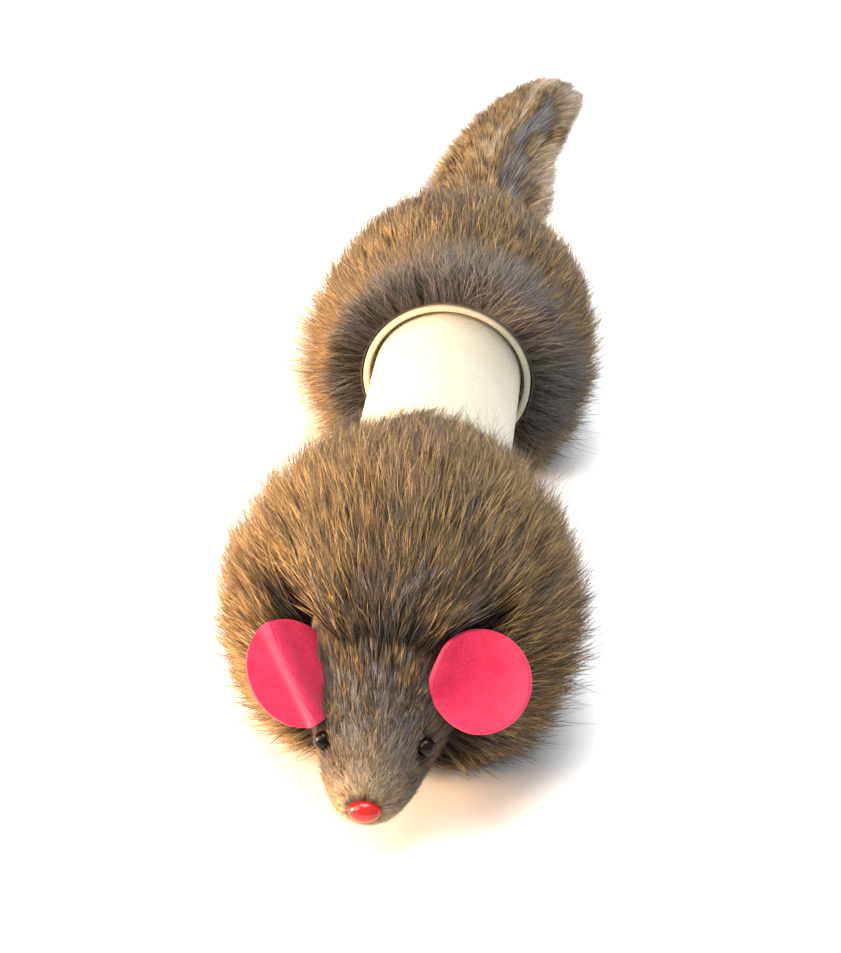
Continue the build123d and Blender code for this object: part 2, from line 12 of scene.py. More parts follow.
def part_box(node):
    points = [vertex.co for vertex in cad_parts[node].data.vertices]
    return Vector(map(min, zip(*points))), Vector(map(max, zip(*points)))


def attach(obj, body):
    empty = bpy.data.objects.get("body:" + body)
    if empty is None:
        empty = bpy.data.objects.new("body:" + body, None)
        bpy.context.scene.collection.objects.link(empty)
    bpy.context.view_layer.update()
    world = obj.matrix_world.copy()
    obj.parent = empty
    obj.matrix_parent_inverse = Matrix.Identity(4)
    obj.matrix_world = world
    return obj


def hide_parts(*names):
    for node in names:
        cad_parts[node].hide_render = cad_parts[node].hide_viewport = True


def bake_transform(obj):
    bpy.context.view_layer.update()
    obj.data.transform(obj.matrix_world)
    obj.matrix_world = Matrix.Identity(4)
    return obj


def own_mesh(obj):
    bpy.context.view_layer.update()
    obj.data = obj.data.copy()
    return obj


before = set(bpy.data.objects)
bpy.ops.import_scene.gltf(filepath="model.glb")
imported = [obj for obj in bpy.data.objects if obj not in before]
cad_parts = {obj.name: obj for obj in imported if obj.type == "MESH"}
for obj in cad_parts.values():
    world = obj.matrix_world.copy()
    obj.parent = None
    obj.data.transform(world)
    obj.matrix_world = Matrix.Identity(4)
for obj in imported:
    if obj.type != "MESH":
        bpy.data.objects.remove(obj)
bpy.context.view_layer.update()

MM = 0.001
rng = np.random.default_rng(311)

# ---- places, from the frame, in mm ----
TUBE_LOW, TUBE_HIGH = (np.array(p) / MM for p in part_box("inner_tube"))
FRONT_LOW, FRONT_HIGH = (np.array(p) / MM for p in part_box("front_pelt"))
HEAD_LOW = np.array(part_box("head_pelt")[0]) / MM
NOSE_LOW, NOSE_HIGH = (np.array(p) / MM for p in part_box("nose"))
AXIS_Z = (TUBE_LOW[2] + TUBE_HIGH[2]) / 2
TUBE_R = (TUBE_HIGH[0] - TUBE_LOW[0]) / 2
FUR_R = (FRONT_HIGH[0] - FRONT_LOW[0]) / 2


# ---- camera, light and floor ----
CAMERA_ELEVATION = 32.0
CAMERA_AZIMUTH = 5.9  # degrees round to the mouse's left of straight ahead
CAMERA_DISTANCE = 0.479
CAMERA_AIM = (-0.0018, 0.0492, 0.026)
FOCAL_IN_HEIGHTS = 2.215  # focal length over the height of the picture
SENSOR_HEIGHT = 24.0
LIGHTS_AIM = (0, 0.06, 0.02)
FLOOR_SIZE = 12.0
# name, place, size, power and colour of each lamp
LAMPS = (
    ("key", (-0.52, -0.22, 0.50), 0.50, 6.2, (1.0, 0.80, 0.56)),
    ("glow", (-0.45, -0.10, 0.12), 0.20, 8.2, (1.0, 0.58, 0.28)),
    ("top", (-0.05, 0.10, 0.80), 0.50, 7.0, (1.0, 0.99, 0.97)),
    ("back", (0.15, 0.75, 0.50), 0.50, 4.0, (0.88, 0.94, 1.0)),
)


def make_camera():
    """The camera of the main view."""
    data = bpy.data.cameras.new("camera")
    data.sensor_fit = "VERTICAL"
    data.sensor_height = SENSOR_HEIGHT
    data.lens = SENSOR_HEIGHT * FOCAL_IN_HEIGHTS
    data.clip_start = 0.01
    camera = bpy.data.objects.new("camera", data)
    bpy.context.scene.collection.objects.link(camera)
    elevation = math.radians(CAMERA_ELEVATION)
    azimuth = math.radians(CAMERA_AZIMUTH)
    towards = Vector((
        math.sin(azimuth) * math.cos(elevation),
        -math.cos(azimuth) * math.cos(elevation),
        math.sin(elevation),
    ))
    camera.location = Vector(CAMERA_AIM) + CAMERA_DISTANCE * towards
    camera.rotation_euler = towards.to_track_quat("Z", "Y").to_euler()
    bpy.context.scene.camera = camera


def area_light(name, place, size, power, colour):
    """A square soft light that points at the middle of the mouse."""
    data = bpy.data.lights.new(name, "AREA")
    data.size = size
    data.energy = power
    data.color = colour
    light = bpy.data.objects.new(name, data)
    bpy.context.scene.collection.objects.link(light)
    light.location = place
    light.rotation_euler = (Vector(place) - Vector(LIGHTS_AIM)).to_track_quat("Z", "Y").to_euler()


def make_stage():
    """A plain pale floor under soft studio light that is warm from the left."""
    world = bpy.data.worlds.new("studio")
    world.use_nodes = True
    background = world.node_tree.nodes["Background"]
    background.inputs["Color"].default_value = (1.0, 1.0, 1.0, 1.0)
    background.inputs["Strength"].default_value = 0.72
    bpy.context.scene.world = world
    bpy.context.scene.view_settings.view_transform = "Standard"
    for lamp in LAMPS:
        area_light(*lamp)
    bpy.ops.mesh.primitive_plane_add(size=FLOOR_SIZE)
    floor = bpy.context.object
    floor.name = "floor"
    material, _ = new_material("floor", (0.92, 0.93, 0.95), 0.9)
    floor.data.materials.append(material)


# ---- materials ----
MATERIALS = {}  # by short name


def new_material(name, colour, roughness):
    """A material with plain values, and its shader."""
    material = bpy.data.materials.new(name)
    material.use_nodes = True
    shader = material.node_tree.nodes["Principled BSDF"]
    shader.inputs["Base Color"].default_value = (*colour, 1.0)
    shader.inputs["Roughness"].default_value = roughness
    return material, shader


def noise(tree, scale, detail=3.0, vector=None):
    """A noise texture in object coordinates, and its value's socket."""
    if vector is None:
        vector = tree.nodes.new("ShaderNodeTexCoord").outputs["Object"]
    node = tree.nodes.new("ShaderNodeTexNoise")
    node.inputs["Scale"].default_value = scale
    node.inputs["Detail"].default_value = detail
    tree.links.new(vector, node.inputs["Vector"])
    return node.outputs["Fac"]


def ramp(tree, value, stops):
    """A colour ramp over a value. The stops are (place, colour)."""
    node = tree.nodes.new("ShaderNodeValToRGB")
    elements = node.color_ramp.elements
    while len(elements) < len(stops):
        elements.new(0.5)
    for element, (place, colour) in zip(elements, stops):
        element.position = place
        element.color = (*colour, 1.0)
    tree.links.new(value, node.inputs["Fac"])
    return node.outputs["Color"]


def bump(tree, shader, value, strength, distance):
    """Makes a value the relief of the surface."""
    node = tree.nodes.new("ShaderNodeBump")
    node.inputs["Strength"].default_value = strength
    node.inputs["Distance"].default_value = distance
    tree.links.new(value, node.inputs["Height"])
    tree.links.new(node.outputs["Normal"], shader.inputs["Normal"])


def mottled(name, dark, light, scale, roughness, relief=0.0002, metallic=0.0, strength=0.4):
    """A material whose colour wanders between two tones, with fine relief of the same grain."""
    material, shader = new_material(name, light, roughness)
    tree = material.node_tree
    grain = noise(tree, scale, 5.0)
    tree.links.new(ramp(tree, grain, ((0.3, dark), (0.7, light))), shader.inputs["Base Color"])
    shader.inputs["Metallic"].default_value = metallic
    bump(tree, shader, grain, strength, relief)
    return material


def fur_material():
    """Hair coloured from root to tip. The map's v runs along the hair, and u picks its kind: soft
    grey underfur near 0, charcoal at 0.2, banded tan with dark tips at 0.5, pale cream near 1."""
    material, shader = new_material("fur", (0.4, 0.3, 0.2), 0.7)
    tree = material.node_tree
    place = tree.nodes.new("ShaderNodeUVMap")
    place.uv_map = "OFBake"
    split = tree.nodes.new("ShaderNodeSeparateXYZ")
    tree.links.new(place.outputs["UV"], split.inputs["Vector"])
    along, kind = split.outputs["Y"], split.outputs["X"]
    soft = ramp(tree, along, (
        (0.0, (0.125, 0.122, 0.122)), (0.40, (0.185, 0.181, 0.180)), (0.85, (0.265, 0.257, 0.248)),
        (1.0, (0.205, 0.190, 0.170)),
    ))
    charcoal = ramp(tree, along, (
        (0.0, (0.026, 0.023, 0.021)), (0.45, (0.055, 0.046, 0.040)), (0.80, (0.095, 0.077, 0.062)),
        (1.0, (0.045, 0.036, 0.029)),
    ))
    banded = ramp(tree, along, (
        (0.0, (0.018, 0.013, 0.010)), (0.42, (0.040, 0.028, 0.017)), (0.56, (0.16, 0.100, 0.042)),
        (0.72, (0.47, 0.310, 0.132)), (0.84, (0.10, 0.062, 0.028)), (1.0, (0.008, 0.006, 0.004)),
    ))
    pale = ramp(tree, along, (
        (0.0, (0.16, 0.14, 0.12)), (0.5, (0.42, 0.34, 0.26)), (1.0, (0.74, 0.63, 0.48)),
    ))
    to_charcoal = ramp(tree, kind, ((0.05, (0, 0, 0)), (0.17, (1, 1, 1))))
    to_banded = ramp(tree, kind, ((0.22, (0, 0, 0)), (0.42, (1, 1, 1))))
    to_pale = ramp(tree, kind, ((0.58, (0, 0, 0)), (0.95, (1, 1, 1))))
    grey = mixed(tree, to_charcoal, soft, charcoal)
    tan = mixed(tree, to_banded, grey, banded)
    tree.links.new(mixed(tree, to_pale, tan, pale), shader.inputs["Base Color"])
    shader.inputs["Specular IOR Level"].default_value = 0.12
    return material


def mixed(tree, factor, first, second):
    """The mix of two colours."""
    node = tree.nodes.new("ShaderNodeMix")
    node.data_type = "RGBA"
    tree.links.new(factor, node.inputs["Factor"])
    tree.links.new(first, node.inputs["A"])
    tree.links.new(second, node.inputs["B"])
    return node.outputs["Result"]


def card_material():
    """Off-white card with a soft fibrous surface."""
    material, shader = new_material("card", (0.8, 0.77, 0.66), 0.85)
    tree = material.node_tree
    fibres = noise(tree, 2600.0, 6.0)
    broad = noise(tree, 120.0, 2.0)
    fine_tone = ramp(tree, fibres, (
        (0.36, (0.33, 0.30, 0.215)), (0.50, (0.48, 0.45, 0.345)), (0.7, (0.58, 0.55, 0.45)),
    ))
    broad_tone = ramp(tree, broad, ((0.3, (0.45, 0.42, 0.32)), (0.7, (0.52, 0.49, 0.39))))
    node = tree.nodes.new("ShaderNodeMix")
    node.data_type = "RGBA"
    node.inputs["Factor"].default_value = 0.5
    tree.links.new(fine_tone, node.inputs["A"])
    tree.links.new(broad_tone, node.inputs["B"])
    tree.links.new(node.outputs["Result"], shader.inputs["Base Color"])
    shader.inputs["Sheen Weight"].default_value = 0.3
    bump(tree, shader, fibres, 0.8, 0.00025)
    return material


def felt_material():
    """Hot pink felt: matted fibres, slightly uneven in tone."""
    material, shader = new_material("felt", (0.86, 0.04, 0.16), 0.95)
    tree = material.node_tree
    fibres = noise(tree, 3200.0, 6.0)
    patches = noise(tree, 260.0, 3.0)
    tone = mixed(
        tree,
        ramp(tree, patches, ((0.35, (0, 0, 0)), (0.65, (1, 1, 1)))),
        ramp(tree, fibres, ((0.3, (0.40, 0.008, 0.040)), (0.7, (0.62, 0.018, 0.085)))),
        ramp(tree, fibres, ((0.3, (0.50, 0.012, 0.055)), (0.7, (0.72, 0.028, 0.110)))),
    )
    tree.links.new(tone, shader.inputs["Base Color"])
    shader.inputs["Sheen Weight"].default_value = 0.35
    shader.inputs["Sheen Roughness"].default_value = 0.5
    shader.inputs["Sheen Tint"].default_value = (1.0, 0.30, 0.40, 1.0)
    bump(tree, shader, fibres, 0.6, 0.00018)
    return material


def gloss_material(name, deep, bright, scale, roughness=0.12, coat=0.6, specular=0.5):
    """A glossy moulded bead with slight streaks under its shine."""
    material, shader = new_material(name, bright, roughness)
    tree = material.node_tree
    grain = noise(tree, scale, 2.0)
    tree.links.new(ramp(tree, grain, ((0.3, deep), (0.7, bright))), shader.inputs["Base Color"])
    shader.inputs["Coat Weight"].default_value = coat
    shader.inputs["Specular IOR Level"].default_value = specular
    shader.inputs["Coat Roughness"].default_value = 0.06
    bump(tree, shader, noise(tree, 500.0, 2.0), 0.05, 0.0001)
    return material


# ---- strands of hair ----
RING = 3  # corners of a hair's cross-section
STEPS = (0.0, 0.35, 0.70)  # where along it the cross-sections stand; the tip is a point
THICKNESS = (1.0, 0.85, 0.5)  # of each cross-section, as a share of the root's


def unit(v):
    """Vectors of length one."""
    return v / np.maximum(np.linalg.norm(v, axis=-1, keepdims=True), 1e-9)


def strand_mesh(name, root, bend, tip, radius, kind, v_tip, material):
    """One closed tapered hair for each row of root, bend and tip, in millimetres: a curve that
    leaves the skin towards bend and ends at tip."""
    count = len(root)
    steps = np.array([*STEPS, 1.0])
    line = [
        (1 - s) ** 2 * root + 2 * s * (1 - s) * bend + s**2 * tip
        for s in steps
    ]
    forward = unit(tip - root)
    side = unit(np.cross(forward, unit(rng.normal(size=(count, 3)))))
    other = np.cross(forward, side)
    points, coords = [], []
    for s, at, thick in zip(STEPS, line, THICKNESS):
        for corner in range(RING):
            turn = 2 * math.pi * corner / RING
            reach = (radius * thick)[:, None]
            points.append(at + reach * (math.cos(turn) * side + math.sin(turn) * other))
            coords.append(np.stack([kind, s * v_tip], 1))
    points.append(line[-1])
    coords.append(np.stack([kind, v_tip], 1))
    points = np.stack(points, 1).reshape(-1, 3) * MM
    coords = np.stack(coords, 1).reshape(-1, 2)
    faces = [(0, 2, 1)]
    for level in range(len(STEPS) - 1):
        for corner in range(RING):
            after = (corner + 1) % RING
            low, high = level * RING, (level + 1) * RING
            faces.append((low + corner, low + after, high + after, high + corner))
    top = (len(STEPS) - 1) * RING
    last = len(STEPS) * RING
    for corner in range(RING):
        faces.append((top + corner, top + (corner + 1) % RING, last))
    corners = np.concatenate([np.array(f) for f in faces])
    sizes = np.array([len(f) for f in faces])
    per_strand = last + 1
    loops = (corners[None] + per_strand * np.arange(count)[:, None]).reshape(-1)
    totals = np.tile(sizes, count)
    starts = np.concatenate([[0], np.cumsum(totals)[:-1]])
    mesh = bpy.data.meshes.new(name)
    mesh.vertices.add(len(points))
    mesh.vertices.foreach_set("co", points.astype(np.float32).reshape(-1))
    mesh.loops.add(len(loops))
    mesh.loops.foreach_set("vertex_index", loops.astype(np.int32))
    mesh.polygons.add(len(totals))
    mesh.polygons.foreach_set("loop_start", starts.astype(np.int32))
    mesh.polygons.foreach_set("use_smooth", np.ones(len(totals), bool))
    layer = mesh.uv_layers.new(name="OFBake")
    layer.data.foreach_set("uv", np.clip(coords[loops], 0.01, 0.99).astype(np.float32).reshape(-1))
    mesh.update(calc_edges=True)
    mesh.materials.append(material)
    piece = bpy.data.objects.new(name, mesh)
    bpy.context.scene.collection.objects.link(piece)
    return piece


def nearest_clump(points, centres):
    """For each point, the index of the nearest centre."""
    tree = KDTree(len(centres))
    for number, centre in enumerate(centres):
        tree.insert(centre, number)
    tree.balance()
    return np.array([tree.find(p)[1] for p in points])


STRANDS_PER_PIECE = 12000
SIDE_ROOM = 49.8  # no hair reaches further to either side, in mm
TOP_ROOM = 75.5  # nor higher
LOWEST_HAIR = (0.25, 1.8)  # heights over the floor at which hair that would reach lower is stopped
HAIR_ENDS = (0.90, 1.0)  # where on the map a hair's tip is
BEND_AHEAD = 0.25  # where along a hair it bends, as a share of its length
BEND_OUT = 0.30  # how far out from the skin the bend is, as a share of its length
BEND_SPREAD = 0.03
TUFTS = ((55, 0.42, 2.8), (7, 0.80, 1.1))  # hairs in a tuft, pull towards its tip, its own lean in mm
TUFT_TONE = 0.085  # how much the tone differs from tuft to tuft
FEWEST_TUFTS = 8


def gathered(root, tip, kind, size, pull, lean):
    """Tips drawn together into tufts of about size hairs. Each tuft leans and is toned its own way."""
    count = len(root)
    centres = rng.permutation(count)[: max(FEWEST_TUFTS, count // size)]
    near = nearest_clump(root, root[centres])
    aim = tip[centres] + rng.normal(0, lean, (len(centres), 3))
    tone = rng.normal(0, TUFT_TONE, len(centres))
    share = (pull * rng.uniform(0.6, 1.0, count))[:, None]
    return tip + (aim[near] - tip) * share, kind + tone[near]


def fur(name, root, tip, normal, lift, radius, kind, body, tufts=TUFTS, blend=None):
    """Grows hair from root to tip, gathered into pointed tufts, in pieces of limited size."""
    count = len(root)
    for size, pull, lean in tufts:
        tip, kind = gathered(root, tip, kind, size, pull, lean)
    length = np.linalg.norm(tip - root, axis=1)[:, None]
    bend = root + normal * length * lift + (tip - root) * BEND_AHEAD
    bend += rng.normal(0, BEND_SPREAD, (count, 3)) * length
    tip[:, 0] = np.clip(tip[:, 0], -SIDE_ROOM, SIDE_ROOM)
    tip[:, 2] = np.minimum(tip[:, 2], TOP_ROOM)
    floor = rng.uniform(*LOWEST_HAIR, count)
    tip[:, 2] = np.maximum(tip[:, 2], floor)
    bend[:, 2] = np.maximum(bend[:, 2], floor)
    ends = rng.uniform(*HAIR_ENDS, count)
    for number, start in enumerate(range(0, count, STRANDS_PER_PIECE)):
        at = slice(start, start + STRANDS_PER_PIECE)
        piece = strand_mesh(
            f"{name}_{number + 1:02d}", root[at], bend[at], tip[at], radius[at], kind[at],
            ends[at], MATERIALS["fur"],
        )
        if blend:
            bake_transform(piece)
        else:
            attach(piece, body)


CURVE_STEPS = 200
RIPPLE_WAVES = 6
RIPPLE_HEIGHT = 3.5  # about the highest sum of the waves


def along_curve(points, t):
    """Points of a smooth curve through the given points, for t from 0 to 1. Beyond, it runs on straight."""
    points = np.array(points, float)
    spans = len(points) - 1
    fine = np.linspace(0, 1, CURVE_STEPS)
    padded = np.concatenate([[2 * points[0] - points[1]], points, [2 * points[-1] - points[-2]]])
    index = np.clip((fine * spans).astype(int), 0, spans - 1)
    local = (fine * spans - index)[:, None]
    a, b, c, d = (padded[index + k] for k in range(4))
    smooth = 0.5 * (
        2 * b + (c - a) * local + (2 * a - 5 * b + 4 * c - d) * local**2
        + (3 * b - a - 3 * c + d) * local**3
    )
    out = np.stack([np.interp(t, fine, smooth[:, k]) for k in range(points.shape[1])], 1)
    return out + np.maximum(t - 1, 0)[:, None] * (points[-1] - points[-2]) * spans


def round_body(profile, angle):
    """Places on a body of revolution round the tube's axis, from (y, r) pairs and angles from the top."""
    return np.stack([
        profile[:, 1] * np.sin(angle),
        profile[:, 0],
        AXIS_Z + profile[:, 1] * np.cos(angle),
    ], 1)


def ripple(points, scale, seed):
    """Smooth noise from about -1 to 1 over positions, the sum of a few random waves."""
    waves = np.random.default_rng(seed)
    total = np.zeros(len(points))
    for _ in range(RIPPLE_WAVES):
        direction = waves.normal(size=3)
        total += np.sin(points @ direction / scale + waves.uniform(0, 2 * math.pi))
    return total / RIPPLE_HEIGHT


def soft_step(value, low, high):
    """From 0 below low to 1 above high, smoothly."""
    share = np.clip((value - low) / (high - low), 0, 1)
    return share * share * (3 - 2 * share)


def bell(value, middle, half_width):
    """From 1 at middle down towards 0 on either side of it, smoothly."""
    return np.exp(-(((value - middle) / half_width) ** 2))


# ---- the shape of the head ----
# (y behind the front end, half width, half height, drop below the tube's axis), from muzzle to neck
HEAD_SECTIONS = (
    (-1.2, 3.4, 2.9, 12.8), (0.0, 5.7, 5.0, 12.5), (2.6, 7.7, 6.8, 11.4), (5.5, 9.0, 8.1, 9.5),
    (9.5, 10.2, 9.6, 7.0), (17.0, 12.4, 12.0, 4.4), (24.0, 13.4, 13.0, 3.2),
)
HEAD_TURN = (NOSE_LOW[0] + NOSE_HIGH[0]) / 2 / ((NOSE_LOW[1] + NOSE_HIGH[1]) / 2 - TUBE_LOW[1])
HEAD_ASIDE = HEAD_TURN * (HEAD_LOW[1] - TUBE_LOW[1]) / 2
HEAD_LENGTH = HEAD_SECTIONS[-1][0]
EYE_CLEAR = 2.35  # hair is kept this far from the middle of a bead
EYE_SHANK_HALF = 1.5  # from the middle of an eye's box, shank and all, to the middle of its bead


# ---- ears: where they are, and hair kept clear of them ----
EAR_R = 9.8
EAR_REACH = (0.93, 0.24, 0.28)  # the left ear's direction from its root outwards
EAR_FACING = (0.06, -0.83, 0.55)  # where its open side points


def ear_frame(node, side):
    """The middle of an ear and its three directions: outwards, upwards and the way it faces."""
    low, high = (np.array(p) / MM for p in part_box(node))
    mirror = np.array([side, 1.0, 1.0])
    along = unit(np.array(EAR_REACH) * mirror)
    facing = np.array(EAR_FACING) * mirror
    facing = unit(facing - along * (facing @ along))
    upward = np.cross(facing, along)
    return (low + high) / 2, along, upward * np.sign(upward[2]), facing


EARS = {"ear_left": ear_frame("ear_left", 1), "ear_right": ear_frame("ear_right", -1)}
EAR_BACKS = {"ear_left": -2.2, "ear_right": -5.6}  # how far behind its middle each ear's felt reaches
EAR_OPEN = 16.0  # hair is kept out of the space this far before an ear
EAR_ROOM = 0.8  # and this far round it


def clear_of_ears(root, bend, tip, reach=EAR_R + EAR_ROOM, depth=1.0):
    """True for the hairs that pass neither through an ear nor in front of it. The share depth says how
    much of the ear's own depth is kept clear behind its middle."""
    clear = np.ones(len(root), bool)
    for node, (centre, along, upward, facing) in EARS.items():
        for s in (0.0, 0.25, 0.5, 0.75, 1.0):
            at = (1 - s) ** 2 * root + 2 * s * (1 - s) * bend + s**2 * tip - centre
            within = np.hypot(at @ along, at @ upward) < reach
            height = at @ facing
            clear &= ~(within & (height > EAR_BACKS[node] * depth) & (height < EAR_OPEN))
    return clear


# the outlines (y, r) of the hide and of the hair's outer shape, from front to back
FRONT_SKIN = ((-31, 9), (-27, 16), (-16, 22.5), (0, 25), (16, 23), (27, 19.5), (32, TUBE_R + 0.6))
FRONT_HAIR = ((-33, 14), (-30, 24), (-20, 34.5), (-1, FUR_R + 1.8), (19, 34.0), (31, 26.5), (41, 20.0))
REAR_SKIN = ((94, 21.2), (95, 22.0), (103, 25), (116, 26.5), (133, 25), (147, 21.6), (157, 13), (162, 4))
REAR_HAIR = (
    (88, 29), (92, 34.5), (103, FUR_R - 1.3), (118, FUR_R - 1.3), (135, 33), (149, 27), (160, 20), (168, 10),
)
HIDE_THICKNESS = 0.6
INWARDS = -1
SKIN_LOW = 2.0  # lowest place of the hide, where it is flat
ROOT_LOW = 2.2  # lowest place of a hair's root


def sheet_piece(name, points, faces, material, thickness, offset=0.0):
    """A thin sheet over a grid of points, given thickness."""
    mesh = bpy.data.meshes.new(name)
    mesh.from_pydata((np.array(points) * MM).tolist(), [], faces)
    work = bmesh.new()
    work.from_mesh(mesh)
    bmesh.ops.remove_doubles(work, verts=work.verts, dist=1e-6)
    work.to_mesh(mesh)
    work.free()
    mesh.polygons.foreach_set("use_smooth", np.ones(len(mesh.polygons), bool))
    mesh.materials.append(material)
    piece = bpy.data.objects.new(name, mesh)
    bpy.context.scene.collection.objects.link(piece)
    solid = piece.modifiers.new("thickness", "SOLIDIFY")
    solid.thickness = thickness * MM
    solid.offset = offset
    return piece


def grid_faces(rows, columns, closed):
    """The faces of a grid of rows of points. A closed one joins its last column to its first."""
    return [
        (k * columns + a, k * columns + (a + 1) % columns,
         (k + 1) * columns + (a + 1) % columns, (k + 1) * columns + a)
        for k in range(rows - 1)
        for a in range(columns if closed else columns - 1)
    ]


def skin_mesh(name, outline, node, body):
    """The hide under the hair, as a surface of revolution that is flat where it rests."""
    rows, columns = 40, 72
    angles = np.linspace(0, 2 * math.pi, columns, endpoint=False)
    rings = along_curve(outline, np.linspace(0, 1, rows))
    points = np.concatenate([round_body(np.repeat(ring[None], columns, 0), angles) for ring in rings])
    points[:, 2] = np.maximum(points[:, 2], SKIN_LOW)
    faces = grid_faces(rows, columns, True)
    piece = sheet_piece(name, points, faces, MATERIALS["hide"], HIDE_THICKNESS, INWARDS)
    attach(piece, body)
    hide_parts(node)


HEAD_OVERLAP = 0.3  # how far the hair of the ball reaches into the head's own


def clear_of_head(root, tip):
    """False for the hairs of the ball that would start or end inside the head's own fur."""
    clear = np.ones(len(root), bool)
    for at in (root, tip):
        back = at[:, 1] - HEAD_LOW[1]
        section = along_curve(HEAD_SECTIONS, np.clip(back / HEAD_LENGTH, 0, 1))
        aside = (at[:, 0] - HEAD_TURN * (at[:, 1] - TUBE_LOW[1])) / (section[:, 1] - HEAD_OVERLAP)
        rise = (at[:, 2] - AXIS_Z + section[:, 3]) / (section[:, 2] - HEAD_OVERLAP)
        clear &= (np.hypot(aside, rise) > 1) | (back > HEAD_LENGTH)
    return clear


def rooted(skin, t, angle):
    """Roots on the hide of a round half, and the way straight out of it."""
    root = round_body(along_curve(skin, t), angle)
    root[:, 2] = np.maximum(root[:, 2], ROOT_LOW)
    return root, unit(np.stack([np.sin(angle), np.zeros(len(t)), np.cos(angle)], 1))


def clear_places(root, out, tip, body):
    """True for the hairs that stay clear of the ears and the head, which are on the front half."""
    if body != "front_half":
        return np.ones(len(root), bool)
    length = np.linalg.norm(tip - root, axis=1)[:, None]
    bend = root + out * length * BEND_OUT + (tip - root) * BEND_AHEAD
    return clear_of_ears(root, bend, tip) & clear_of_head(root, tip)


ROOTS_FORWARD = 0.85  # below 1, fewer hairs are rooted near the front of a half
SHORTEST = 0.16  # the shortest hairs end this share closer to the axis
HOLLOWS = 0.030  # the coat's outline wanders by this share
LEAN = 0.10  # how far hairs lean sideways, in radians
TIP_SPREAD = 1.3


def body_fur(
    name, skin, hair, count, shift, body, tone,
    span=(0.0, 1.0), tufts=TUFTS, thick=(0.08, 0.15),
):
    """The fur of one round half: hair that leaves the hide and lies back along the outer shape."""
    t = span[0] + (span[1] - span[0]) * rng.random(count) ** ROOTS_FORWARD
    angle = rng.uniform(-math.pi, math.pi, count)
    root, out = rooted(skin, t, angle)
    ahead = along_curve(hair, t + shift * rng.uniform(0.5, 1.45, count))
    ahead[:, 1] *= 1 - SHORTEST * rng.random(count) ** 2 + HOLLOWS * ripple(root, 2.6, 7)
    lean = angle + rng.normal(0, LEAN, count) + LEAN * ripple(root, 6.0, 5)
    tip = round_body(ahead, lean)
    tip += rng.normal(0, TIP_SPREAD, (count, 3))
    keep = clear_places(root, out, tip, body)
    kind = tone(root, tip, t)
    radius = rng.uniform(*thick, count)
    fur(
        name, root[keep], tip[keep], out[keep], BEND_OUT, radius[keep], kind[keep],
        body, tufts,
    )


GREY_KINDS = 0.25  # kinds of hair below this are grey
DARK_KIND = 0.24
GUARD_LEAN = 0.12
GUARD_WAVE = 0.07
GUARD_BEND = 0.25  # how far out from the skin a guard hair's bend is, as a share of its length


def guard_hairs(
    name, skin, hair, count, shift, body, tone, reach, thick, kinds, dark,
    angles=(-math.pi, math.pi), span=(0.02, 0.95), spread=1.2,
):
    """Single hairs over the fur: each one leans its own way and stands out by its own reach."""
    t = rng.uniform(*span, count)
    angle = rng.uniform(*angles, count)
    root, out = rooted(skin, t, angle)
    ahead = along_curve(hair, t + shift * rng.uniform(0.5, 1.6, count))
    ahead[:, 1] *= rng.uniform(*reach, count)
    lean = angle + rng.normal(0, GUARD_LEAN, count) + GUARD_WAVE * ripple(root, 7.0, 5)
    tip = round_body(ahead, lean)
    tip += rng.normal(0, spread, (count, 3))
    keep = clear_places(root, out, tip, body)
    below = tone(root, tip, t)
    kind = np.where(rng.random(count) < dark, DARK_KIND, rng.uniform(*kinds, count))
    kind = np.where(below < GREY_KINDS, below, kind)
    radius = rng.uniform(*thick, count)
    fur(
        name, root[keep], tip[keep], out[keep], GUARD_BEND, radius[keep], kind[keep],
        body, tufts=(),
    )


AGOUTI_KIND = 0.385
PATCH_TONE, PATCH_SIZE = 0.07, 6.0
HAIR_TONE = 0.08
PALEST_AGOUTI = 0.72


def mottle(root, seed):
    """The uneven tone of agouti fur, from patch to patch and from hair to hair."""
    patches = PATCH_TONE * ripple(root, PATCH_SIZE, seed)
    return AGOUTI_KIND + patches + rng.normal(0, HAIR_TONE, len(root))


def mottle_only(root, tip, t):
    """The agouti tone, where there is no patch of another colour."""
    return mottle(root, 3).clip(GREY_KINDS, PALEST_AGOUTI)


FOREHEAD_SIDES = (7.0, 13.5)  # the dark patch fades out between these half widths
FOREHEAD_BACK = (-29, -19)  # and between these places along the mouse
FOREHEAD_KIND = 0.195
DARKEST = 0.12


def front_tone(root, tip, t):
    """Banded tan all over, with a charcoal patch between the ears, just above the head."""
    kind = mottle(root, 1)
    across = np.abs(tip[:, 0] - HEAD_ASIDE) + 1.5 * ripple(tip, 3.0, 11)
    back = tip[:, 1] + 2.5 * ripple(tip, 3.0, 12)
    above = tip[:, 2] > AXIS_Z
    patch = above * (1 - soft_step(across, *FOREHEAD_SIDES)) * (1 - soft_step(back, *FOREHEAD_BACK))
    dark = rng.normal(FOREHEAD_KIND, 0.03, len(root))
    return (kind * (1 - patch) + patch * dark).clip(DARKEST, PALEST_AGOUTI)


RING_END = 0.17  # the soft underfur round the collar is rooted in this first part of the rear hide
RING_REACH = 33.6  # how far from the tube's axis that underfur is seen
RING_SIDE = 3.5  # it reaches this much further at the mouse's upper left, and this much less opposite
RING_SIDE_ANGLE = 0.55  # of that side, round from the top to the mouse's left
RING_FADE = (-1.5, 2.5)  # how the ring's outer edge fades, in mm
RING_KIND = 0.03


